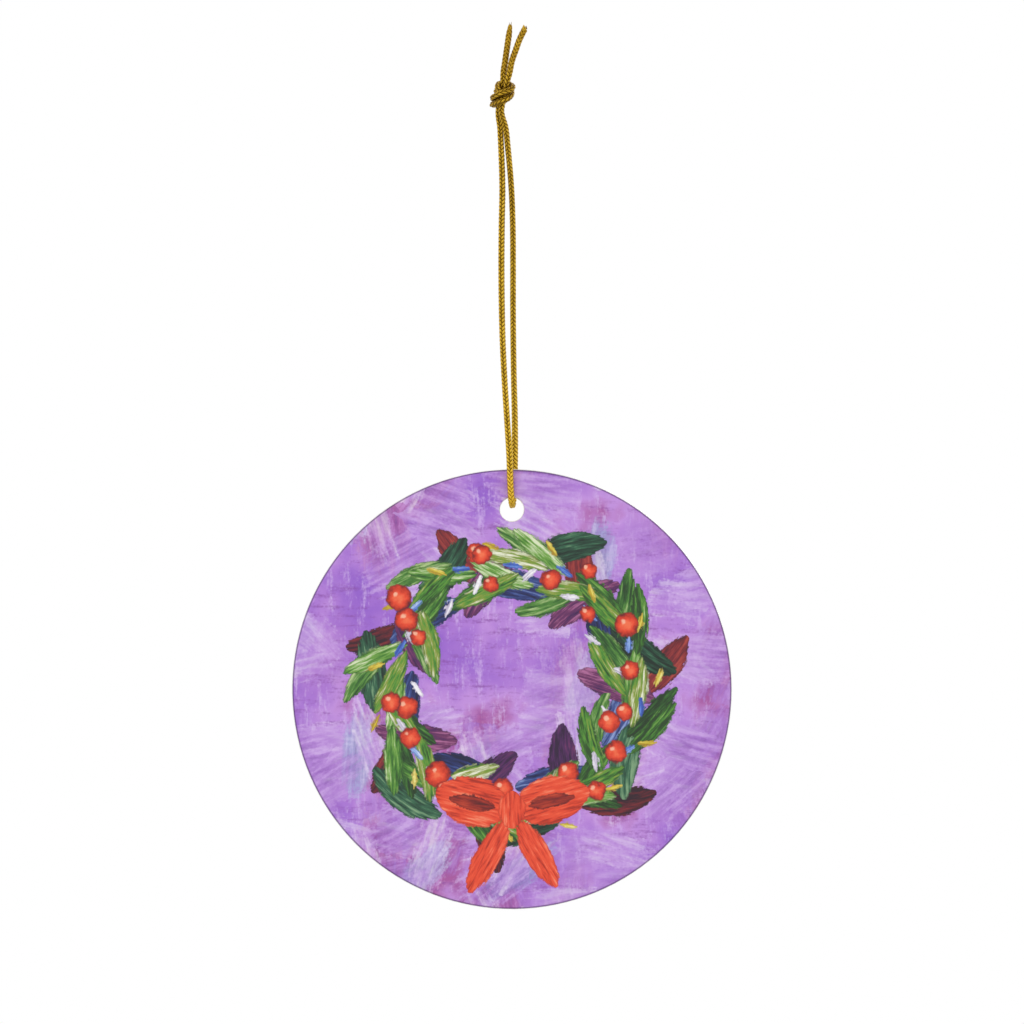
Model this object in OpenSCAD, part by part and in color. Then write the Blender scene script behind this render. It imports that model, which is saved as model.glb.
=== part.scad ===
// Souvenir hanging ornament: a round ceramic disc with a printed front face, hung on a loop of
// braided gold cord. Both ends of the cord are tied together in a doubled overhand knot.
// Millimetres, +Z up, the print faces -Y. The origin is the hanging point at the top of the loop.

/* [Disc] */
// Diameter of the ceramic disc
disc_d = 71; // [60:1:90]
// Thickness of the disc with its printed coat
disc_t = 3; // [2.6:0.1:5]
// Radius of the softened edges of the rim
rim_round = 0.5; // [0.3:0.1:1]
// Diameter of the hanging hole
hole_d = 3.8; // [3.4:0.1:6]
// Radius of the softened edges of the hole
hole_round = 0.4; // [0.2:0.1:0.8]
// Height of the hole's centre above the disc's centre
hole_rise = 29; // [22:0.5:30]
// Thickness of the printed coat on the front face
coat_t = 0.1; // [0.06:0.02:0.2]
// Distance that the coat stops short of the rim's side and of the hole's wall
coat_lip = 0.1; // [0.06:0.02:0.2]

/* [Cord] */
// Diameter of the braided cord
cord_d = 1; // [0.8:0.05:1.2]
// Share of its diameter that the cord keeps where the knot draws it tight
knot_draw = 0.88; // [0.8:0.01:0.9]
// Clearance between the cord and the disc
cord_clear = 0.15; // [0.1:0.05:0.3]
// Radius of the cord's centre line where it bends through the hole
bend_r = 1.6; // [1.2:0.1:1.7]

/* [Loop] */
// Drop from the hanging point to the hole's centre
loop_drop = 59.4; // [45:0.5:90]
// Height of the knot's middle above the hanging point
knot_rise = 7.6; // [6:0.2:10]
// Height of the longer cut tail above the knot
tail_rise = 8.8; // [5:0.2:15]
// Distance that the knot sits to the right of the hanging point
knot_shift = -0.4; // [-2:0.1:2]
// Distance that the disc hangs to the right of the hanging point
disc_shift = 1.2; // [-2:0.1:2]

/* [Hidden] */
$fn = 96;

// Disc
hole_at = [disc_shift, 0, -loop_drop];
disc_at = hole_at - [0, 0, hole_rise];
blank_t = disc_t - coat_t;
hole_r = hole_d / 2;
cut_past = 1;

// Cord section and the spacing of its rings along legs and tails, and through the knot
cord_sides = 8;
leg_step = 2.5 * cord_d;
knot_step = 0.42 * cord_d;
bend_rings = 6;
draw_rings = 4;
self_run = 2 * cord_d;

// The legs lie against both faces of the disc, the rear one a little to the right of the front one
rear_shift = 0.25;
front_shift = -0.15;
leg_y = disc_t / 2 + cord_clear + cord_d / 2;
bend_z = hole_at.z + hole_r + hole_round;
rear_foot = [hole_at.x + rear_shift, leg_y, bend_z];
front_foot = [hole_at.x + front_shift, -leg_y, bend_z];

// Routes of the two strands through the knot, from leg to tail, in cord diameters from its middle:
// up behind the band, over the top behind the tails, down across the front as the band,
// round the left side, behind the legs and up through the loop
knot_at = [knot_shift, 0, knot_rise];
rear_knot_route = [
    [-0.1, -0.6, -2.4], [0.05, -0.6, -1.6], [0.2, -0.5, -0.85], [-0.05, -0.5, -0.1],
    [-0.5, -0.25, 0.65], [-0.65, 0.5, 1.4], [-0.3, 1.25, 1.85], [0.55, 1.3, 1.95],
    [1.25, 0.7, 1.65], [1.7, -0.2, 1.25], [1.5, -1.1, 0.75], [0.65, -1.5, 0.4],
    [-0.3, -1.5, 0.05], [-1, -0.95, -0.3], [-1.45, -0.1, -0.55], [-1.3, 0.95, -0.6],
    [-0.55, 1.4, -0.25], [0.1, 0.95, 0.4], [0.25, 0.35, 1.25], [0.2, 0.15, 2.1], [0.2, 0.2, 3]
];
front_knot_route = [
    [-0.55, 0.4, -2.4], [-0.4, 0.3, -1.65], [-0.45, 0.25, -0.9], [-0.6, 0.3, -0.2],
    [-0.9, 0.9, 0.5], [-0.5, 1.6, 0.95], [0.35, 1.75, 1], [1.1, 1.2, 0.7],
    [1.55, 0.4, 0.3], [1.5, -0.4, -0.1], [1.1, -1.15, -0.6], [0.45, -1.55, -1],
    [-0.35, -1.4, -1.25], [-1.1, -0.75, -1.5], [-1.55, 0.2, -1.65], [-1.15, 1.05, -1.6],
    [-0.25, 1.3, -1.25], [0.4, 0.9, -0.65], [0.65, 0.3, -0.05], [0.65, -0.25, 0.65],
    [0.65, -0.6, 1.35], [0.85, -0.65, 2.15], [1.1, -0.55, 3]
];

// Routes of the legs from knot to hole: bow to the right of the straight line in millimetres,
// share of the full spread away from the disc's middle, share of the way down
rear_leg_route = [
    [0.6, -0.2, 0.05], [0.85, 0, 0.1], [1.2, 0.2, 0.2], [1.25, 0.4, 0.3], [1.1, 0.6, 0.4],
    [0.9, 0.8, 0.5], [0.75, 0.95, 0.6], [0.65, 1, 0.7], [0.6, 1, 0.8], [0.4, 1, 0.9]
];
front_leg_route = [
    [0.15, -0.15, 0.05], [0.2, 0, 0.1], [0.2, 0.2, 0.2], [-0.1, 0.4, 0.3], [-0.35, 0.6, 0.4],
    [-0.5, 0.8, 0.5], [-0.55, 0.95, 0.6], [-0.45, 1, 0.7], [-0.25, 1, 0.8], [-0.05, 1, 0.9]
];

// Routes of the cut tails above the knot, as shares of the longer tail's height
left_tail_route = [[0.04, 0, 0.3], [0.09, 0, 0.65], [0.14, 0, 1]];
right_tail_route = [[0.06, 0, 0.28], [0.12, 0.01, 0.45], [0.2, 0.02, 0.67], [0.31, 0.02, 0.89]];

function unit(v) = v / norm(v);
function reversed(v) = [for (i = [len(v) - 1 : -1 : 0]) v[i]];
function knot_points(route) = [for (p = route) knot_at + cord_d * p];
function tail_points(route, root) = concat([root], [for (p = route) root + tail_rise * p]);
function leg_point(p, top, foot) =
    let (straight = top + (foot - top) * p[2])
        [straight.x + p[0], foot.y * p[1], straight.z];
function leg_points(route, top, foot) = concat([top], [for (p = route) leg_point(p, top, foot)], [foot]);

// The bend through the hole, from the rear face to the front:
// two quarter turns with a short flat between
bight_points = [
    for (half = [0, 1]) for (k = [0 : bend_rings])
        let (turn = 90 * (half + k / bend_rings), flat = (leg_y - bend_r) * (1 - 2 * half))
            [rear_foot.x + (front_foot.x - rear_foot.x) * turn / 180,
             flat + bend_r * cos(turn),
             bend_z - bend_r * sin(turn)]
];

// The whole cord from left tail to right tail, as stretches that share their end points
rear_knot = knot_points(rear_knot_route);
front_knot = knot_points(front_knot_route);
stretches = [
    reversed(tail_points(left_tail_route, rear_knot[len(rear_knot) - 1])),
    reversed(rear_knot),
    leg_points(rear_leg_route, rear_knot[0], rear_foot),
    bight_points,
    reversed(leg_points(front_leg_route, front_knot[0], front_foot)),
    front_knot,
    tail_points(right_tail_route, front_knot[len(front_knot) - 1])
];
stretch_steps = [leg_step, knot_step, leg_step, leg_step, leg_step, knot_step, leg_step];
left_tail = 0;
rear_strand = 1;
rear_leg = 2;
bight = 3;
front_leg = 4;
front_strand = 5;
right_tail = 6;

// One smooth centre line through all the points
controls = concat([stretches[0][0]], [for (s = stretches) for (i = [1 : len(s) - 1]) s[i]]);
control_step = [for (k = [0 : len(stretches) - 1]) for (i = [1 : len(stretches[k]) - 1]) stretch_steps[k]];
function chord(i) = controls[i + 1] - controls[i];
function inner_direction(a, b) = unit(a / (a * a) + b / (b * b));
function direction(i) =
    i == 0 ? unit(chord(0)) :
    i == len(controls) - 1 ? unit(chord(i - 1)) : inner_direction(chord(i - 1), chord(i));
function on_curve(i, t) =
    let (reach = norm(chord(i)))
        controls[i] * (2 * t ^ 3 - 3 * t ^ 2 + 1) + controls[i + 1] * (3 * t ^ 2 - 2 * t ^ 3)
        + direction(i) * reach * (t ^ 3 - 2 * t ^ 2 + t) + direction(i + 1) * reach * (t ^ 3 - t ^ 2);
ring_count = [for (i = [0 : len(controls) - 2]) ceil(norm(chord(i)) / control_step[i])];
centre = concat(
    [for (i = [0 : len(controls) - 2]) for (k = [0 : ring_count[i] - 1]) on_curve(i, k / ring_count[i])],
    [controls[len(controls) - 1]]
);
last_ring = len(centre) - 1;

// Index of the ring at which each stretch starts
function total(v, upto) = upto == 0 ? 0 : v[upto - 1] + total(v, upto - 1);
control_start = [for (k = [0 : len(stretches)]) total([for (s = stretches) len(s) - 1], k)];
ring_start = [for (c = control_start) total(ring_count, c)];

// Rings square to the line, carried along it without twist
tangents = [for (i = [0 : last_ring]) unit(centre[min(i + 1, last_ring)] - centre[max(i - 1, 0)])];
function square_to(v, along) = unit(v - along * (v * along));
normals = [for (i = 0, v = square_to([0, 1, 0], tangents[0]); i <= last_ring;
                i = i + 1, v = i <= last_ring ? square_to(v, tangents[i]) : v) v];
function drawn(i, strand) =
    max(0, min(1, min(i - ring_start[strand], ring_start[strand + 1] - i) / draw_rings));
radii = [for (i = [0 : last_ring])
    cord_d / 2 * (1 - (1 - knot_draw) * max(drawn(i, rear_strand), drawn(i, front_strand)))];
function ring(i) = [for (k = [0 : cord_sides - 1])
    let (turn = 360 * k / cord_sides)
        centre[i] + radii[i] * (cos(turn) * normals[i] + sin(turn) * cross(tangents[i], normals[i]))];

// Least gap of the cord to itself, measured between its rings and left out along the same bend
run = [for (i = 0, s = 0; i <= last_ring;
            i = i + 1, s = i <= last_ring ? s + norm(centre[i] - centre[i - 1]) : s) s];
cord_length = run[last_ring];
least_gap = min([for (i = [0 : last_ring - 1]) for (j = [i + 1 : last_ring])
    if (run[j] - run[i] > self_run) norm(centre[i] - centre[j]) - radii[i] - radii[j]]);
echo(str("Least gap of the cord to itself: ", least_gap, " mm, length of the cord: ", cord_length, " mm"));

// One stretch of the cord as a closed tube of triangles
module cord_tube(stretch) {
    from = ring_start[stretch];
    rings = ring_start[stretch + 1] - from;
    end = rings * cord_sides;
    polyhedron(
        points = [for (i = [0 : rings]) each ring(from + i)],
        faces = concat(
            [for (i = [0 : rings - 1]) for (k = [0 : cord_sides - 1])
                let (a = i * cord_sides + k, b = i * cord_sides + (k + 1) % cord_sides)
                    each [[a, a + cord_sides, b + cord_sides], [a, b + cord_sides, b]]],
            [for (k = [1 : cord_sides - 2]) [0, k, k + 1]],
            [for (k = [1 : cord_sides - 2]) [end, end + k + 1, end + k]]
        ),
        convexity = 6
    );
}

// Half section of the disc, with both edges of the rim softened
module disc_section() {
    square([disc_d / 2 - rim_round, blank_t]);
    translate([0, rim_round]) square([disc_d / 2, blank_t - 2 * rim_round]);
    for (z = [rim_round, blank_t - rim_round])
        translate([disc_d / 2 - rim_round, z]) circle(rim_round);
}

// Half section of one mouth of the hole, flaring to the face at the height z
module mouth_section(z, out) {
    difference() {
        translate([0, min(z, z - out * hole_round)]) square([hole_r + hole_round, hole_round]);
        translate([hole_r + hole_round, z - out * hole_round]) circle(hole_round);
    }
}

// The fired disc with its hole, lying with its back on the floor
module blank() {
    difference() {
        rotate_extrude() disc_section();
        translate([0, hole_rise, 0]) {
            translate([0, 0, -cut_past]) cylinder(r = hole_r, h = blank_t + 2 * cut_past);
            rotate_extrude() mouth_section(0, -1);
            rotate_extrude() mouth_section(blank_t, 1);
        }
    }
}

// Stands the disc up, with its printed side to the front
module hung() {
    translate(disc_at) rotate([90, 0, 0]) translate([0, 0, -disc_t / 2]) children();
}

module ceramic_disc() {
    color("whitesmoke") hung() blank();
}

// The coat is the front of the disc raised by its own thickness, so it follows the softened edges
module print_coat() {
    color("mediumorchid") hung() difference() {
        intersection() {
            translate([0, 0, coat_t]) blank();
            translate([0, 0, blank_t / 2]) cylinder(r = disc_d / 2 - coat_lip, h = disc_t);
        }
        translate([0, hole_rise, 0]) cylinder(r = hole_r + coat_lip, h = disc_t + cut_past);
        blank();
    }
}

module cord_bight() {
    color("goldenrod") cord_tube(bight);
}

module cord_front_leg() {
    color("goldenrod") cord_tube(front_leg);
}

module cord_rear_leg() {
    color("goldenrod") cord_tube(rear_leg);
}

module cord_knot() {
    color("darkgoldenrod") {
        cord_tube(rear_strand);
        cord_tube(front_strand);
    }
}

module cord_left_tail() {
    color("goldenrod") cord_tube(left_tail);
}

module cord_right_tail() {
    color("goldenrod") cord_tube(right_tail);
}

ceramic_disc();
print_coat();
cord_bight();
cord_front_leg();
cord_rear_leg();
cord_knot();
cord_left_tail();
cord_right_tail();
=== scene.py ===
import math

import bmesh
import bpy
from mathutils import Matrix, Vector


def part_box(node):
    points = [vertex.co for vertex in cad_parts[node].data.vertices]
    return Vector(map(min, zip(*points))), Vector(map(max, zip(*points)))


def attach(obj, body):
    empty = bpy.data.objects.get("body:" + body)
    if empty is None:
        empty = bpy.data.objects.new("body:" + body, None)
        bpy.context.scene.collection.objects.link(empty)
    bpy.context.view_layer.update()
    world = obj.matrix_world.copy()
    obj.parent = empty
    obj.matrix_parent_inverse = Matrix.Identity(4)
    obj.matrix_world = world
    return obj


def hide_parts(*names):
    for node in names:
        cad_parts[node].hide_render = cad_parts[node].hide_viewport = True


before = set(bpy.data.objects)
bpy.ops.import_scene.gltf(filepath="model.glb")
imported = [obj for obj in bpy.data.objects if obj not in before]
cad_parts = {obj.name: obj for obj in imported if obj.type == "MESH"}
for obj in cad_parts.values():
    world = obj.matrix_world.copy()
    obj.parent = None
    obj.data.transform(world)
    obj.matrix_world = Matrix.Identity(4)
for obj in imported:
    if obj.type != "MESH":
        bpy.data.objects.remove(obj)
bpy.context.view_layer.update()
scene = bpy.context.scene

# Camera
# A long lens looks straight at the printed face, a little below the ornament's hole. The frame
# spans about 165 mm at the face, so the cord and the disc fill the height of the picture.
MM = 0.001
frame_span = 165.1 * MM
frame_middle = Vector((1.21, -1.5, -59.81)) * MM
lens = 300.0
sensor = 36.0

photo_camera = bpy.data.cameras.new("photo_camera")
photo_camera.lens = lens
photo_camera.sensor_width = sensor
camera_stand = bpy.data.objects.new("photo_camera", photo_camera)
camera_stand.location = frame_middle - Vector((0, frame_span * lens / sensor, 0))
camera_stand.rotation_euler = (math.radians(90), 0, 0)
scene.collection.objects.link(camera_stand)
scene.camera = camera_stand

# Cord
# One length of metallic gold braid, threaded through the hole. Both ends are tied together in an
# overhand knot and cut off to two tails. Its route is the one that the solids follow.
cord_d = 1.0 * MM
knot_at = Vector((-0.4, 0, 7.6)) * MM
leg_y = 2.15 * MM
bend_r = 1.6 * MM
bend_z = -57.1 * MM
bend_rings = 6
rear_foot = Vector((1.45 * MM, leg_y, bend_z))
front_foot = Vector((1.05 * MM, -leg_y, bend_z))
tail_rise = 8.8 * MM

# Strands through the knot, from leg to tail, in cord diameters from its middle
rear_knot_route = [
    (-0.1, -0.6, -2.4), (0.05, -0.6, -1.6), (0.2, -0.5, -0.85), (-0.05, -0.5, -0.1),
    (-0.5, -0.25, 0.65), (-0.65, 0.5, 1.4), (-0.3, 1.25, 1.85), (0.55, 1.3, 1.95),
    (1.25, 0.7, 1.65), (1.7, -0.2, 1.25), (1.5, -1.1, 0.75), (0.65, -1.5, 0.4),
    (-0.3, -1.5, 0.05), (-1, -0.95, -0.3), (-1.45, -0.1, -0.55), (-1.3, 0.95, -0.6),
    (-0.55, 1.4, -0.25), (0.1, 0.95, 0.4), (0.25, 0.35, 1.25), (0.2, 0.15, 2.1), (0.2, 0.2, 3),
]
front_knot_route = [
    (-0.55, 0.4, -2.4), (-0.4, 0.3, -1.65), (-0.45, 0.25, -0.9), (-0.6, 0.3, -0.2),
    (-0.9, 0.9, 0.5), (-0.5, 1.6, 0.95), (0.35, 1.75, 1), (1.1, 1.2, 0.7),
    (1.55, 0.4, 0.3), (1.5, -0.4, -0.1), (1.1, -1.15, -0.6), (0.45, -1.55, -1),
    (-0.35, -1.4, -1.25), (-1.1, -0.75, -1.5), (-1.55, 0.2, -1.65), (-1.15, 1.05, -1.6),
    (-0.25, 1.3, -1.25), (0.4, 0.9, -0.65), (0.65, 0.3, -0.05), (0.65, -0.25, 0.65),
    (0.65, -0.6, 1.35), (0.85, -0.65, 2.15), (1.1, -0.55, 3),
]
# Legs from knot to hole: bow to the right in millimetres, share of the spread, share of the drop
rear_leg_route = [
    (0.6, -0.2, 0.05), (0.85, 0, 0.1), (1.2, 0.2, 0.2), (1.25, 0.4, 0.3), (1.1, 0.6, 0.4),
    (0.9, 0.8, 0.5), (0.75, 0.95, 0.6), (0.65, 1, 0.7), (0.6, 1, 0.8), (0.4, 1, 0.9),
]
front_leg_route = [
    (0.15, -0.15, 0.05), (0.2, 0, 0.1), (0.2, 0.2, 0.2), (-0.1, 0.4, 0.3), (-0.35, 0.6, 0.4),
    (-0.5, 0.8, 0.5), (-0.55, 0.95, 0.6), (-0.45, 1, 0.7), (-0.25, 1, 0.8), (-0.05, 1, 0.9),
]
# Tails above the knot, as shares of the longer tail's height
left_tail_route = [(0.04, 0, 0.3), (0.09, 0, 0.65), (0.14, 0, 1)]
right_tail_route = [(0.06, 0, 0.28), (0.12, 0.01, 0.45), (0.2, 0.02, 0.67), (0.31, 0.02, 0.89)]


def strand_points(leg_route, foot, knot_route, tail_route):
    """Points of half the cord from the hole up, and the indices where its knot starts and ends."""
    knot = [knot_at + cord_d * Vector(p) for p in knot_route]
    leg = []
    for bow, spread, drop in leg_route:
        straight = knot[0].lerp(foot, drop)
        leg.append(Vector((straight.x + bow * MM, foot.y * spread, straight.z)))
    tail = [knot[-1] + tail_rise * Vector(p) for p in tail_route]
    points = [foot, *reversed(leg), *knot, *tail]
    return points, len(leg) + 1, len(leg) + len(knot)


def bend_points():
    """The bend through the hole, from rear foot to front foot: two quarter turns with a flat between."""
    points = []
    for half in (0, 1):
        for k in range(bend_rings + 1):
            share = (half + k / bend_rings) / 2
            turn = math.pi * share
            flat = (leg_y - bend_r) * (1 - 2 * half)
            x = rear_foot.x + (front_foot.x - rear_foot.x) * share
            points.append(Vector((x, flat + bend_r * math.cos(turn), bend_z - bend_r * math.sin(turn))))
    return points


class CordLine:
    """A smooth line through the route's points, in even steps, with sides that don't twist along it."""

    fewest_pieces = 4
    pieces_per_width = 8

    def __init__(self, points, step):
        chords = [b - a for a, b in zip(points, points[1:])]
        ways = [chords[0].normalized()]
        for a, b in zip(chords, chords[1:]):
            ways.append((a / a.length_squared + b / b.length_squared).normalized())
        ways.append(chords[-1].normalized())
        fine = [points[0]]
        self.at_point = [0.0]
        run = 0.0
        for i, chord in enumerate(chords):
            pieces = max(self.fewest_pieces, math.ceil(self.pieces_per_width * chord.length / cord_d))
            for k in range(1, pieces + 1):
                t = k / pieces
                place = points[i] * (2 * t**3 - 3 * t**2 + 1) + points[i + 1] * (3 * t**2 - 2 * t**3)
                place += chord.length * (ways[i] * (t**3 - 2 * t**2 + t) + ways[i + 1] * (t**3 - t**2))
                run += (place - fine[-1]).length
                fine.append(place)
            self.at_point.append(run)
        self.length = run
        self.step = step
        self.centres = self.even_points(fine)
        self.sides = []
        side = Vector((0, -1, 0))
        last = len(self.centres) - 1
        for i in range(last + 1):
            along = (self.centres[min(i + 1, last)] - self.centres[max(i - 1, 0)]).normalized()
            side = (side - along * side.dot(along)).normalized()
            self.sides.append((side, along.cross(side)))

    def even_points(self, fine):
        """The same line in steps of equal length."""
        even = [fine[0]]
        run = 0.0
        wanted = self.step
        for a, b in zip(fine, fine[1:]):
            reach = (b - a).length
            while wanted <= run + reach:
                even.append(a.lerp(b, (wanted - run) / reach))
                wanted += self.step
            run += reach
        return [*even, fine[-1]]

    def place(self, along, out, turn):
        """The point at a length along the line, a distance out from it, at an angle round it."""
        last = len(self.centres) - 2
        spot = min(max(along / self.step, 0), last + 1)
        i = min(int(spot), last)
        across = out * math.cos(turn)
        beside = out * math.sin(turn)
        ends = [self.centres[k] + self.sides[k][0] * across + self.sides[k][1] * beside for k in (i, i + 1)]
        past = along - min(max(along, 0), self.length)
        return ends[0].lerp(ends[1], spot - i) + past * (self.centres[i + 1] - self.centres[i]).normalized()


line_step = 0.05 * MM
rear_points, rear_knot_start, rear_knot_end = strand_points(
    rear_leg_route, rear_foot, rear_knot_route, left_tail_route
)
front_points, front_knot_start, front_knot_end = strand_points(
    front_leg_route, front_foot, front_knot_route, right_tail_route
)
bend = bend_points()
line = CordLine([*reversed(rear_points), *bend[1:-1], *front_points], line_step)
rear_foot_index = len(rear_points) - 1
front_foot_index = len(rear_points) + len(bend) - 2
middle = (line.at_point[rear_foot_index] + line.at_point[front_foot_index]) / 2
rear_knot = [line.at_point[rear_foot_index - i] for i in (rear_knot_end, rear_knot_start)]
front_knot = [line.at_point[front_foot_index + i] for i in (front_knot_start, front_knot_end)]

# Eight flat strands, four each way round, pass over two and under two
strands_each_way = 4
lay = 2.55 * MM
steps_per_lay = 24
strand_sides = 8
strand_thick = 0.112 * MM
strand_wide = 0.272 * MM
weave_r = 0.31 * MM
weave_wave = 0.115 * MM
flat_top = 0.35
float_swell = 0.12
# The whole braid turns a little to and fro along the cord
facing = math.radians(2)
sway = 0.2
sway_turns = 2.3
sway_start = 0.6
# The knot draws it tight, it spreads by the disc, and on the tails it lies flat and wears thin
knot_draw = 0.94
draw_reach = 1.5 * MM
disc_spread = 0.11
spread_reach = 26.0 * MM
tail_flat = 0.6
tail_wear = 0.5
wear_reach = 2.4 * MM
# Painted light in its colour: painted shade in the gaps, painted highlights on the crests and cut tips,
# painted light lower down the legs, away from the knot's shade, and over the disc; tails a little lighter
mean_height = 0.89
mean_tone = 0.8
leg_painted_relief = 0.7
knot_painted_relief = 0.8
tail_painted_relief = 0.2
leg_painted_light = 0.035
lit_leg = 66.0 * MM
disc_painted_light = 0.235
disc_reach = 7.0 * MM
tail_shine = 0.02
tip_painted_highlight = 0.14
# Filaments stand out of the cut tails
filament_r = 0.1 * MM
filament_taper = 0.25
filament_gap = 0.13 * MM
filament_lean = 0.08
filament_shine = 0.74
left_filaments = [0.4 * MM, 0.2 * MM, 0.5 * MM]
right_filaments = [0.45 * MM, 0.25 * MM, 0.35 * MM, 0.25 * MM]


def eased(x):
    """A smooth step from 0 to 1."""
    x = min(max(x, 0.0), 1.0)
    return x * x * (3 - 2 * x)


def weave_height(turn):
    """How far over or under a right-hand strand lies, from -1 to 1, with flattened tops."""
    wave = math.sin(2 * turn)
    return wave * (1 + flat_top - flat_top * wave * wave)


def cord_twist(along):
    """The slow turning of the whole braid along its length."""
    return facing + sway * math.sin(sway_turns * 2 * math.pi * along / line.length + sway_start)


def tightness(along):
    """How far the braid is drawn tight: 1 in the knot and 0 in the legs and tails."""
    knots = (rear_knot, front_knot)
    return max(eased(min(along - start, end - along) / draw_reach) for start, end in knots)


def on_tail(along):
    """1 on the cut tails and 0 on the rest of the cord."""
    return eased((rear_knot[0] - along) / cord_d) + eased((along - front_knot[1]) / cord_d)


def drawn(along):
    """The braid's thickness: the knot squeezes it, it spreads by the disc, and the left tip is worn."""
    from_bend = abs(along - middle)
    spread = disc_spread * eased(1 - from_bend / spread_reach) * eased(from_bend / cord_d - 1)
    squeeze = (1 - knot_draw) * tightness(along)
    return (1 + spread - squeeze) * (1 - tail_wear * eased(1 - along / wear_reach))


def shine(along, out):
    """Tone and painted light: painted shade about 0.5 in the gaps, painted highlights 1 on the crests."""
    tail = on_tail(along)
    tight = tightness(along)
    painted_relief = leg_painted_relief * (1 - tail - tight) + tail_painted_relief * tail + knot_painted_relief * tight
    # Painted light over the disc and lower down the legs, and painted highlights at the cut tips
    over_disc = eased((along - middle) / cord_d) * eased((disc_reach - along + middle) / cord_d)
    down_leg = eased(2 - 2 * abs(along - middle) / lit_leg)
    at_tip = eased(1 - along / wear_reach) + eased(1 - (line.length - along) / cord_d)
    lift = disc_painted_light * over_disc + leg_painted_light * down_leg + tail_shine * tail + tip_painted_highlight * at_tip
    return mean_tone + painted_relief * (out / (cord_d / 2) - mean_height) + lift


def screwed_ring(hand, turn, start, end):
    """One strand round a straight axis: a flat ring, screwed up it from start to end."""
    ring = bmesh.new()
    bmesh.ops.create_circle(ring, segments=strand_sides, radius=1)
    for v in ring.verts:
        v.co = Vector((weave_r + strand_thick * v.co.x, 0, start + strand_wide * v.co.y))
    bmesh.ops.rotate(ring, verts=ring.verts, cent=(0, 0, 0), matrix=Matrix.Rotation(turn, 3, "Z"))
    data = bpy.data.meshes.new("strand")
    ring.to_mesh(data)
    ring.free()
    strand = bpy.data.objects.new("strand", data)
    scene.collection.objects.link(strand)
    screw = strand.modifiers.new("screw", "SCREW")
    screw.steps = screw.render_steps = max(2, round((end - start) / lay * steps_per_lay))
    screw.angle = hand * 2 * math.pi * (end - start) / lay
    screw.screw_offset = end - start
    screwed = bpy.data.meshes.new_from_object(strand.evaluated_get(bpy.context.evaluated_depsgraph_get()))
    bpy.data.objects.remove(strand)
    bpy.data.meshes.remove(data)
    return screwed


def lay_strand(mesh, fibre_layer, tone_and_painted_light_layer, hand, first_turn, start, end):
    """Waves one screwed strand over and under the others and lays it along the cord."""
    known = len(mesh.verts)
    screwed = screwed_ring(hand, first_turn + hand * 2 * math.pi * start / lay, start, end)
    mesh.from_mesh(screwed)
    bpy.data.meshes.remove(screwed)
    mesh.verts.ensure_lookup_table()
    for v in mesh.verts[known:]:
        turn = math.atan2(v.co.y, v.co.x)
        centre = hand * (turn - first_turn) / (2 * math.pi) * lay
        across = (v.co.z - centre + lay / 2) % lay - lay / 2
        centre = v.co.z - across
        thick = math.hypot(v.co.x, v.co.y) - weave_r
        over = hand * weave_height(turn)
        swell = 1 + float_swell * over
        wave = 1 - (1 - over) * (1 - tail_flat * on_tail(centre))
        out = (weave_r + weave_wave * wave + swell * thick) * drawn(centre)
        v[fibre_layer] = (centre / MM, thick / strand_thick, across / strand_wide)
        v[tone_and_painted_light_layer] = shine(centre, out)
        v.co = line.place(centre + swell * across, out, turn + cord_twist(centre))


def fray(mesh, fibre_layer, tone_and_painted_light_layer, tip, way, lengths):
    """Loose filaments that stand out of a cut end, leaning a little apart."""
    for k, length in enumerate(lengths):
        lean = Matrix.Rotation(filament_lean * (k % 3 - 1), 3, "Y") @ way
        root = tip + Vector((filament_gap * (k - (len(lengths) - 1) / 2), filament_gap * (k % 2), 0))
        turn = lean.to_track_quat("Z", "Y").to_matrix().to_4x4()
        made = bmesh.ops.create_cone(
            mesh, cap_ends=True, segments=strand_sides, radius1=filament_r,
            radius2=filament_r * filament_taper, depth=2 * length, matrix=Matrix.Translation(root) @ turn,
        )
        for v in made["verts"]:
            v[fibre_layer] = (k, 0, 0)
            v[tone_and_painted_light_layer] = filament_shine


def braid_half(name, start, end, tip, cut_way, lengths):
    """One half of the cord from the hole to its tail, which is cut across and frayed."""
    mesh = bmesh.new()
    fibre_layer = mesh.verts.layers.float_vector.new("fibre")
    tone_and_painted_light_layer = mesh.verts.layers.float.new("shine")
    for k in range(strands_each_way):
        for hand, offset in ((1, 0), (-1, math.pi / strands_each_way)):
            first_turn = k * 2 * math.pi / strands_each_way + offset
            lay_strand(mesh, fibre_layer, tone_and_painted_light_layer, hand, first_turn, start, end)
    everything = [*mesh.verts, *mesh.edges, *mesh.faces]
    bmesh.ops.bisect_plane(mesh, geom=everything, plane_co=tip, plane_no=cut_way, clear_outer=True)
    rims = [e for e in mesh.edges if e.is_boundary]
    bmesh.ops.edgeloop_fill(mesh, edges=rims)
    for f in mesh.faces:
        f.smooth = len(f.verts) <= 4
    for e in rims:
        e.smooth = False
    fray(mesh, fibre_layer, tone_and_painted_light_layer, tip, (tip - line.place(middle, 0, 0)).normalized(), lengths)
    bmesh.ops.recalc_face_normals(mesh, faces=mesh.faces)
    data = bpy.data.meshes.new(name)
    mesh.to_mesh(data)
    mesh.free()
    piece = bpy.data.objects.new(name, data)
    scene.collection.objects.link(piece)
    return piece


left_trim = 0.6 * MM
right_trim = 0.1 * MM
left_cut = (0.3, 0, 1)
right_cut = (0.88, 0, 0.47)
left_tip = line.place(left_trim, 0, 0)
right_tip = line.place(line.length - right_trim, 0, 0)
rear_half = braid_half("cord_rear_half", 0.0, middle, left_tip, left_cut, left_filaments)
front_half = braid_half("cord_front_half", middle, line.length, right_tip, right_cut, right_filaments)

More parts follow.
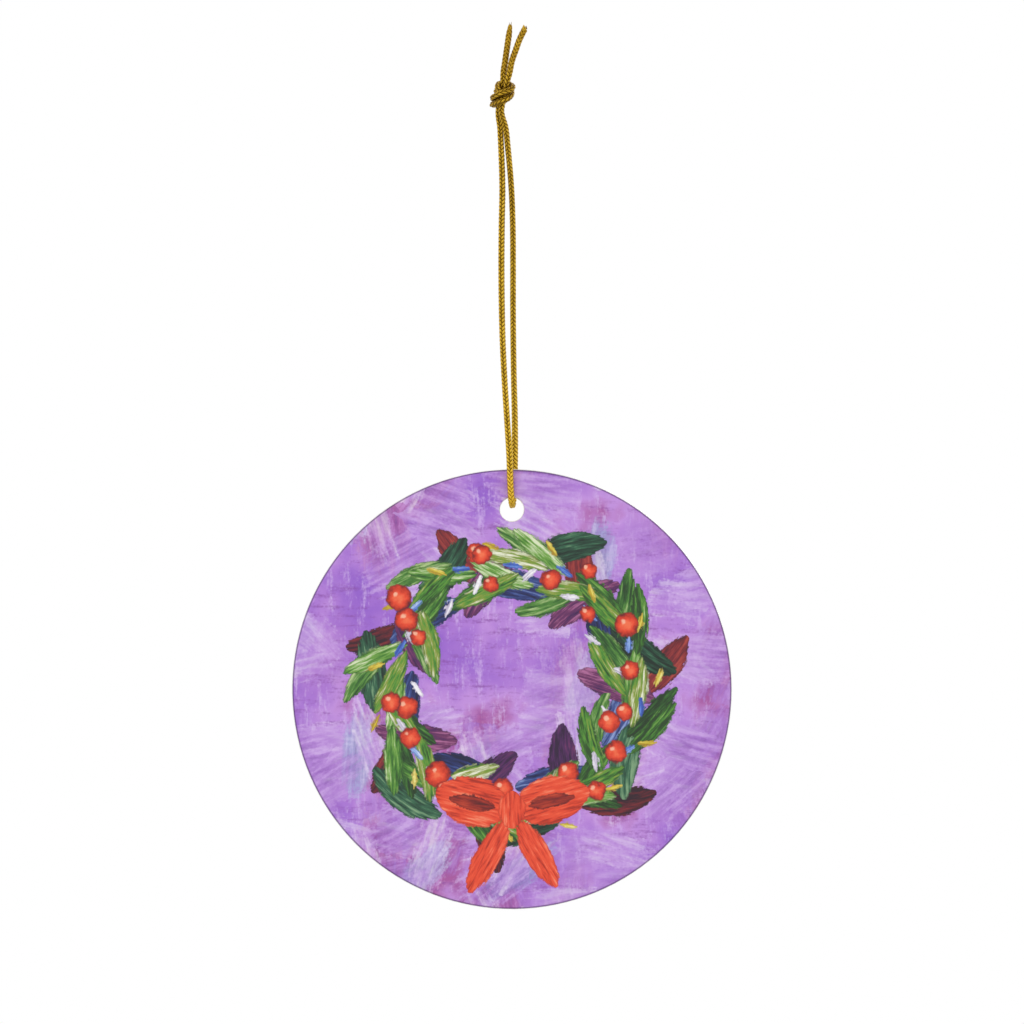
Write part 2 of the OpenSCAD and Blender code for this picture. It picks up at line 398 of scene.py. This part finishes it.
middle_index = round(middle / line.step)
rear_way = list(reversed(line.centres[: middle_index + 1]))
front_way = line.centres[middle_index:]
for piece, way, length, nodes in (
    (rear_half, rear_way, middle, ["cord_rear_leg", "cord_left_tail"]),
    (front_half, front_way, line.length - middle, ["cord_front_leg", "cord_right_tail"]),
):
    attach(piece, "hanger")
    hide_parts("cord_bight", "cord_knot", *nodes)


class Field:
    """A value, colour or vector in a material's nodes. Sums and products of fields add Math nodes."""

    def __init__(self, tree, socket=None):
        self.tree = tree
        self.socket = socket

    def node(self, kind, settings, inputs, output=0):
        """Adds any node: its settings come first, then the values or links of its sockets."""
        made = self.tree.nodes.new("ShaderNode" + kind)
        for name, value in settings.items():
            if name == "stops":
                while len(made.color_ramp.elements) < len(value):
                    made.color_ramp.elements.new(1.0)
                for element, (position, tone) in zip(made.color_ramp.elements, value):
                    element.position = position
                    element.color = tone
            else:
                setattr(made, name, value)
        for name, value in inputs.items():
            self.feed(made.inputs[name], value)
        return Field(self.tree, made.outputs[output])

    def feed(self, socket, value):
        """Links a field to a socket, or sets a plain value on it."""
        if isinstance(value, Field):
            self.tree.links.new(value.socket, socket)
        else:
            socket.default_value = value

    def maths(self, operation, *inputs):
        """Adds a Math node."""
        return self.node("Math", {"operation": operation}, dict(enumerate(inputs)))

    def __add__(self, other):
        return self.maths("ADD", self, other)

    def __sub__(self, other):
        return self.maths("SUBTRACT", self, other)

    def __rsub__(self, other):
        return self.maths("SUBTRACT", other, self)

    def __mul__(self, other):
        return self.maths("MULTIPLY", self, other)

    def __truediv__(self, other):
        return self.maths("DIVIDE", self, other)

    def __neg__(self):
        return self.maths("MULTIPLY", self, -1.0)

    def __abs__(self):
        return self.maths("ABSOLUTE", self)

    __radd__ = __add__
    __rmul__ = __mul__

    def step(self, low, high):
        """A smooth step from 0 at low to 1 at high, and the other way round if low is the larger."""
        settings = {"interpolation_type": "SMOOTHSTEP"}
        return self.node("MapRange", settings, {"Value": self, "From Min": low, "From Max": high})

    def parts(self):
        """The three numbers of a vector or colour."""
        kind = "SeparateColor" if self.socket.type == "RGBA" else "SeparateXYZ"
        split = self.node(kind, {}, {0: self}).socket.node
        return [Field(self.tree, output) for output in split.outputs]

    def vector(self, x, y, z=0.0):
        """A vector from three numbers."""
        return self.node("CombineXYZ", {}, {0: x, 1: y, 2: z})

    def painted(self, tone, mask):
        """This colour with another painted over it where the mask is 1."""
        return self.node("Mix", {"data_type": "RGBA"}, {0: mask, 6: self, 7: tone}, 2)

    def noise(self, where, scale, detail=2.0, roughness=0.5):
        """Noise from 0 to 1 in a space of its own."""
        inputs = {"Vector": where, "Scale": scale, "Detail": detail, "Roughness": roughness}
        return self.node("TexNoise", {}, inputs)

    def ramp(self, *stops):
        """A colour ramp through pairs of a place and a colour."""
        return self.node("ValToRGB", {"stops": stops}, {0: self})

    def bump(self, strength, height):
        """A normal that follows a height, in tenths of a millimetre."""
        return self.node("Bump", {}, {"Strength": strength, "Distance": 0.1 * MM, "Height": height})


def colour(code):
    """A colour from its usual six-digit code, as light."""
    parts = [int(code[i : i + 2], 16) / 255 for i in (0, 2, 4)]
    return [c / 12.92 if c <= 0.04045 else ((c + 0.055) / 1.055) ** 2.4 for c in parts] + [1.0]


def new_finish(name, **constants):
    """A new material, the field that its nodes start from, and its shader's sockets."""
    made = bpy.data.materials.new(name)
    made.use_nodes = True
    shader = made.node_tree.nodes["Principled BSDF"]
    for socket, value in constants.items():
        shader.inputs[socket.replace("_", " ")].default_value = value
    return made, Field(made.node_tree), shader.inputs


# The gold strands are bundles of fine metallised filaments that lie along each strand
filament_along = 0.35
filament_across = 3.0
filament_tone = 0.22
patch_along = 0.5
patch_across = 0.4
patch_tone = 0.16
gold, gold_field, sockets = new_finish("gold_braid", Metallic=0.8)
fibre_place = gold_field.node("Attribute", {"attribute_name": "fibre"}, {}, 1)
along, thick, across = fibre_place.parts()
way = gold_field.vector(along * filament_along, thick * filament_across, across * filament_across)
filaments = gold_field.noise(way, 2.2, 3.0)
way = gold_field.vector(along * patch_along, thick * patch_across, across * patch_across)
patches = gold_field.noise(way, 1.0, 2.0)
braid_tone_and_painted_light = gold_field.node("Attribute", {"attribute_name": "shine"}, {}, 2)
lightness = braid_tone_and_painted_light + filament_tone * (filaments - 0.5) + patch_tone * (patches - 0.5)
# The ramp's dark end is painted shade for the gaps and its light end painted highlight for the crests
gold_tone = lightness.ramp(
    (0.5, colour("241500")), (0.68, colour("5C4200")), (0.84, colour("98740E")), (0.98, colour("D2AC32")),
)
gold_field.feed(sockets["Base Color"], gold_tone)
gold_field.feed(sockets["Roughness"], 0.3 + 0.25 * filaments)
for piece in (rear_half, front_half):
    piece.data.materials.append(gold)

# Ceramic disc
# One pressed and fired blank of white clay with softened edges and a hole near its rim. It is
# glazed all over; the front takes the printed coat.
cloud_grain = 60.0
gloss_grain = 900.0
ripple_grain = 500.0
ripple_strength = 0.05
glaze, glaze_field, sockets = new_finish("white_glaze", Coat_Weight=0.5, Coat_Roughness=0.05)
place = glaze_field.node("TexCoord", {}, {}, "Object")
cloudy = glaze_field.noise(place, cloud_grain, 3.0)
glaze_field.feed(sockets["Base Color"], cloudy.ramp((0.3, colour("F1EFEA")), (0.7, colour("F6F5F1"))))
glaze_field.feed(sockets["Roughness"], 0.12 + 0.1 * glaze_field.noise(place, gloss_grain, 2.0))
glaze_ripple = glaze_field.noise(place, ripple_grain, 2.0)
glaze_field.feed(sockets["Normal"], glaze_field.bump(ripple_strength, glaze_ripple))
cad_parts["ceramic_disc"].data.materials.clear()
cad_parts["ceramic_disc"].data.materials.append(glaze)

# Printed coat
# A thin glossy coat on the disc's front that takes a picture by heat transfer and wraps the softened
# edges. The picture is a painted wreath of leaves and berries with a bow, on a brushed lilac ground.
picture_coat, paint, sockets = new_finish("printed_picture", Specular_IOR_Level=0.4)
coat_low, coat_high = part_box("print_coat")
disc_middle = (coat_low + coat_high) / 2
disc_r = (coat_high.x - coat_low.x) / 2 / MM
place = paint.node("TexCoord", {}, {}, "Object")
to_face = {"Vector": place, "Location": -disc_middle / MM, "Scale": (1 / MM, 1 / MM, 1 / MM)}
face = paint.node("Mapping", {}, to_face)
face_x, _, face_z = face.parts()
from_middle = paint.maths("SQRT", face_x * face_x + face_z * face_z)
round_middle = paint.maths("ARCTAN2", face_z, face_x)

# Every stroke catches on the same tooth of the ground. Sizes in the picture are in millimetres.
tooth_grain = 2.4
ragged_grain = 0.5
ragged_reach = 3.0
tooth = paint.noise(face, tooth_grain, 2.0) - 0.5
ragged = paint.node("TexNoise", {}, {"Vector": face, "Scale": ragged_grain, "Detail": 4.0}, 1).parts()
ragged_x = (ragged[0] - 0.5) * ragged_reach
ragged_z = (ragged[1] - 0.5) * ragged_reach + face_z


def turned(x, z, angle):
    """Two coordinates, as they are along and across a direction."""
    if isinstance(angle, Field):
        cosine = angle.maths("COSINE", angle)
        sine = angle.maths("SINE", angle)
    else:
        cosine = math.cos(angle)
        sine = math.sin(angle)
    return x * cosine + z * sine, z * cosine - x * sine


# The broad dry brush: its grain along and across, how far its dabs lean apart, how tooth and bristles
# break its edge, and steps in the noise that keep layers and dabs from looking alike
broad_along = 0.16
broad_across = 0.9
broad_lean = 1.2
broad_tooth = 0.8
broad_bite = 2.2
tooth_tone = 0.15
layer_step = 50.0
dab_step = 40.0


def scumble(picture, cell, size, lean, strength, tones):
    """Rubs broad dry dabs of thin paint over the picture, each with a direction of its own."""
    length, width = size
    x = face_x + layer_step * cell
    where = paint.vector(x + ragged_x, ragged_z)
    cells = {"Vector": where, "Scale": 1 / cell}
    dabs = paint.node("TexVoronoi", {"voronoi_dimensions": "2D"}, cells).socket.node.outputs
    tilt, grain, load = Field(paint.tree, dabs["Color"]).parts()
    middle_x, middle_z, _ = Field(paint.tree, dabs["Position"]).parts()
    along, across = turned(x - middle_x, face_z - middle_z, tilt * broad_lean + (lean - broad_lean / 2))
    bristle_place = paint.vector(along * broad_along, across * broad_across, grain * dab_step)
    bristles = paint.noise(bristle_place, 1.0, 4.0, 0.62)
    long_way = along / length
    short_way = across / width
    inside = tooth * broad_tooth - long_way * long_way - short_way * short_way + bristles * broad_bite
    thin, body, thick = (colour(tone) for tone in tones)
    dab = (bristles + tooth * tooth_tone).ramp((0.36, thin), (0.5, body), (0.64, thick))
    return picture.painted(dab, inside.step(0.1, 0.8) * (load.step(0.1, 0.5) * strength))


# Ground: thin coats of pink, blue and pale lilac, brushed up, across, and then in every direction
hair_tooth = 0.25
hair_strength = 0.7
ground_grain = 0.045
cloud = paint.noise(face, ground_grain, 4.0, 0.6)
picture = cloud.ramp(
    (0.36, colour("9561CC")), (0.46, colour("AE79D6")), (0.55, colour("C492DF")), (0.64, colour("A9589F")),
)
for way, low, high, code in (
    (paint.vector(face_x * 0.7, face_z * 0.12, 3.0), 0.5, 0.72, "D6B8EE"),
    (paint.vector(face_x * 0.12, face_z * 0.7, 9.0), 0.5, 0.28, "8648A0"),
):
    hairs = paint.noise(way, 1.0, 5.0, 0.7) + tooth * hair_tooth
    picture = picture.painted(colour(code), hairs.step(low, high) * hair_strength)
for cell, size, lean, strength, tones in (
    (15.0, (10.0, 6.0), 1.5, 0.7, ("7F46A0", "9F68C6", "B88ADA")),
    (13.0, (9.0, 5.0), 0.1, 0.6, ("AE7BD2", "C69CE3", "D6B7EC")),
    (17.0, (9.0, 5.0), 1.3, 0.7, ("803A78", "A5549C", "C587C6")),
    (11.0, (8.0, 3.6), -0.2, 0.5, ("B687D8", "CCA6E6", "E6D6F3")),
    (20.0, (8.0, 3.0), 1.2, 0.6, ("56789E", "8AA2CC", "C2CAE8")),
    (14.0, (9.0, 4.0), 0.2, 0.6, ("8049A8", "AC78D0", "CCA6E6")),
    (18.0, (9.0, 3.0), 1.6, 0.5, ("B98ADB", "D3B0EB", "F0E4F6")),
):
    picture = scumble(picture, cell, size, lean, strength, tones)

# The small brush: its grain along and across, and the fullness, cut tips, ragged edge, light and dark
# rim of its strokes
fine_along = 0.24
fine_across = 2.0
fullness = 0.7
tip_share = 0.1
tip_cut = 2.0
fine_tooth = 0.7
fine_bite = 1.3
side_light = 0.12
warm_light = 0.25
rim_shade = 0.55


def brush_mark(picture, along, across, size, grain, warmth, tones):
    """Paints one tapered stroke over the picture. Dry streaks run along it and its edge is ragged."""
    length, width = size
    streak_place = paint.vector(along * fine_along, across * fine_across, grain)
    streaks = paint.noise(streak_place, 1.0, 4.0, 0.62)
    share = along * (2 / length)
    belly = paint.maths("MAXIMUM", 1 - share * share, 0.0)
    reach = paint.maths("POWER", belly, fullness) * (width / 2) - belly.step(tip_share, 0.0) * tip_cut
    inside = reach - abs(across) + tooth * fine_tooth + streaks * fine_bite
    dark, body, light, pale = (colour(tone) for tone in tones)
    lit = across * (side_light / width) + warmth * warm_light + streaks
    mark = lit.ramp((0.46, dark), (0.58, body), (0.7, light), (0.86, pale))
    mark = mark.painted(dark, inside.step(1.25, 0.9) * rim_shade)
    return picture.painted(mark, inside.step(0.7, 0.95))


# Leaves and berries stand in rings, each of them a chance distance from the middle of its slice
ring_r = 19.5
ring_turn = 0.381
ring_step = 37.0
leaf_out = 4.0
leaf_aside = 2.0
leaf_lean = 0.8
leaf_curve = 0.05
berry_out = 9.0
berry_aside = 4.0
berry_least = 0.8
berry_more = 0.35
berry_grain = 0.8
berry_bite = 1.1
berry_tone = 0.6
spot_left = 0.5
spot_up = 0.55
spot_strength = 0.8


def ring_cells(count, seed):
    """Equal slices round the picture's middle: three chances for each, its middle and its number."""
    shift = ring_turn * seed
    cell = paint.maths("FLOOR", round_middle * (count / (2 * math.pi)) + shift)
    middle = (cell + (0.5 - shift)) * (2 * math.pi / count)
    number = paint.maths("FLOORED_MODULO", cell, float(count)) + ring_step * seed
    chances = paint.node("TexWhiteNoise", {"noise_dimensions": "1D"}, {"W": number}, 1)
    return chances.parts(), middle, number


def brush_leaves(picture, count, ring, size, lean, seed, tones):
    """Paints a ring of leaf strokes over the picture, each a little out of line."""
    (slip, tilt, warmth), middle, number = ring_cells(count, seed)
    outward, sideways = turned(face_x, face_z, middle)
    outward = outward - slip * leaf_out - (ring - leaf_out / 2)
    sideways = sideways - warmth * leaf_aside + leaf_aside / 2
    along, across = turned(sideways, outward, tilt * leaf_lean + (lean - leaf_lean / 2))
    across = across + along * along * ((slip - 0.5) * leaf_curve)
    return brush_mark(picture, along, across, size, number, warmth, tones)


def brush_berries(picture, count, ring, berry_r, seed):
    """Paints a ring of round berries, each with a dark rim and a light spot on its upper left."""
    (slip, tilt, warmth), middle, number = ring_cells(count, seed)
    outward, sideways = turned(face_x, face_z, middle)
    outward = outward - slip * berry_out - (ring - berry_out / 2)
    sideways = sideways - tilt * berry_aside + berry_aside / 2
    dabs = paint.noise(paint.vector(face_x, face_z, number), berry_grain, 3.0, 0.6) - 0.5
    away = paint.maths("SQRT", outward * outward + sideways * sideways) + dabs * berry_bite
    size = berry_r * (warmth * berry_more + berry_least)
    berry = (away / size + dabs * berry_tone).ramp(
        (0.1, colour("F4714A")),
        (0.45, colour("E84B2E")),
        (0.75, colour("C4351F")),
        (1.0, colour("6E1A1C")),
    )
    spot_x, spot_z = turned(outward, sideways, -middle)
    spot_x = spot_x + spot_left
    spot_z = spot_z - spot_up
    spot = paint.maths("SQRT", spot_x * spot_x + spot_z * spot_z) + dabs
    berry = berry.painted(colour("FBC3A4"), spot.step(0.5, 0.15) * spot_strength)
    return picture.painted(berry, (away - size).step(0.15, -0.15))


# Wreath: dark leaves behind, green ones over them, small bright flecks, then berries.
# Each row of leaves stands in or out of the ring and leans along it.
dark_leaves = (
    (3.5, 1.0, ("2A1020", "5A1A26", "80262C", "A8423A")),
    (-3.0, 0.35, ("15183A", "242E66", "3A4E8C", "8CA0D2")),
    (3.5, -0.3, ("10231A", "1E4030", "35664A", "7FA37C")),
    (-3.0, -0.95, ("2C1236", "4C2058", "6C2F5E", "B06A98")),
)
for k, (out, lean, tones) in enumerate(dark_leaves):
    picture = brush_leaves(picture, 7, ring_r + out, (14.0, 5.2), lean, k + 1, tones)
leaf_rows = ((3.0, 0.65), (-2.8, -0.55), (0.3, 0.15))
leaf_tones = (
    ("1B3319", "2F5F26", "558A3A", "B4C98C"),
    ("23401D", "417A2C", "74A547", "DCE6C0"),
    ("2A4A1E", "4F8F33", "8C9A3C", "F0F2DC"),
)
for k in range(6):
    out, lean = leaf_rows[k % 3]
    picture = brush_leaves(picture, 8, ring_r + out, (12.0, 3.4), lean, k + 7, leaf_tones[k // 2])
flecks = (
    (2.5, 0.8, ("A8862A", "D3BC3C", "E6D768", "F4EDB0")),
    (0.0, 0.1, ("3450A6", "4A70C8", "86A8E4", "D0DEF6")),
    (-2.5, -0.6, ("B9AFC8", "E2DCEA", "F8F6FA", "FFFFFF")),
)
for k, (out, lean, tones) in enumerate(flecks):
    picture = brush_leaves(picture, 15, ring_r + out, (3.6, 1.3), lean, k + 14, tones)
for count, out, berry_r, seed in ((9, 0.0, 1.9, 18), (8, 1.0, 1.7, 19), (7, -1.0, 1.5, 20)):
    picture = brush_berries(picture, count, ring_r + out, berry_r, seed)

# Bow: two tails, two loops with the fold seen inside them, and a knot, as middle, direction and size
ribbon_tones = ("A82C1C", "E0452A", "EE5636", "F98F6C")
fold_tones = ("4A1014", "7E1F1C", "A5301F", "C4452C")
ribbon_warmth = 0.5
for x, z, direction, size, tones in (
    (-3.9, -7.4, 242, (14.0, 4.6), ribbon_tones), (4.1, -7.0, 300, (13.0, 4.6), ribbon_tones),
    (-6.2, 1.4, 166, (13.0, 8.4), ribbon_tones), (6.3, 1.6, 15, (13.2, 8.0), ribbon_tones),
    (-6.4, 1.2, 168, (8.0, 2.8), fold_tones), (6.4, 1.5, 12, (8.0, 2.6), fold_tones),
    (0.0, 0.1, 90, (6.4, 5.0), ribbon_tones),
):
    along, across = turned(face_x - x, face_z - (z - ring_r), math.radians(direction))
    picture = brush_mark(picture, along, across, size, x + direction, ribbon_warmth, tones)

# Painted shade: the picture ends in a darker line where it turns over the rounded edge
edge_line = 0.15
edge_shade_strength = 0.65
coat_gloss_grain = 0.6
coat_ripple_grain = 1.2
coat_ripple_strength = 0.04
painted_edge_shade = from_middle.step(disc_r - 2 * edge_line, disc_r - edge_line)
picture = picture.painted(colour("3E2156"), painted_edge_shade * edge_shade_strength)
paint.feed(sockets["Base Color"], picture)
paint.feed(sockets["Roughness"], 0.26 + 0.1 * paint.noise(face, coat_gloss_grain, 2.0))
coat_ripple = paint.noise(face, coat_ripple_grain, 2.0)
paint.feed(sockets["Normal"], paint.bump(coat_ripple_strength, coat_ripple))
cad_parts["print_coat"].data.materials.clear()
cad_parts["print_coat"].data.materials.append(picture_coat)

# Floor and light
# A pale floor well below the hanging ornament and a white room all round it. One broad lamp at the
# upper left and a weak one at the right give the braid its shape, and a third lights the back.
floor_drop = 300 * MM
floor_r = 600 * MM
floor_sides = 96
speckle_grain = 40.0
floor_mesh = bmesh.new()
bmesh.ops.create_circle(floor_mesh, cap_ends=True, segments=floor_sides, radius=floor_r)
bmesh.ops.translate(floor_mesh, verts=floor_mesh.verts, vec=(0, 0, -floor_drop))
floor_data = bpy.data.meshes.new("floor")
floor_mesh.to_mesh(floor_data)
floor_mesh.free()
floor = bpy.data.objects.new("floor", floor_data)
scene.collection.objects.link(floor)
floor_paint, floor_field, sockets = new_finish("floor_paint", Roughness=0.8)
floor_place = floor_field.node("TexCoord", {}, {}, "Object")
speckle = floor_field.noise(floor_place, speckle_grain, 4.0)
floor_field.feed(sockets["Base Color"], speckle.ramp((0.3, colour("F4F4F4")), (0.7, colour("F8F8F8"))))
floor_data.materials.append(floor_paint)

room_light = 0.62
room = bpy.data.worlds.new("white_room")
scene.world = room
room.use_nodes = True
room_field = Field(room.node_tree)
rays = room_field.node("LightPath", {}, {}).socket.node.outputs
camera_ray, glossy_ray, clear_ray = (
    Field(room.node_tree, rays[name]) for name in ("Is Camera Ray", "Is Glossy Ray", "Is Transmission Ray")
)
direct = room_field.maths("MAXIMUM", camera_ray, room_field.maths("MAXIMUM", glossy_ray, clear_ray))
backdrop = room.node_tree.nodes["Background"].inputs
backdrop["Color"].default_value = (1, 1, 1, 1)
room_field.feed(backdrop["Strength"], direct * (1 - room_light) + room_light)

for name, place, size, power in (
    ("key_lamp", (-0.35, -0.55, 0.35), 0.7, 2.1),
    ("fill_lamp", (0.5, -0.45, -0.05), 0.5, 0.6),
    ("back_lamp", (0.35, 0.6, 0.3), 0.6, 1.8),
):
    lamp = bpy.data.lights.new(name, "AREA")
    lamp.size = size
    lamp.energy = power
    stand = bpy.data.objects.new(name, lamp)
    stand.location = place
    aim = frame_middle - stand.location
    stand.rotation_euler = aim.to_track_quat("-Z", "Y").to_euler()
    scene.collection.objects.link(stand)

scene.view_settings.view_transform = "Standard"
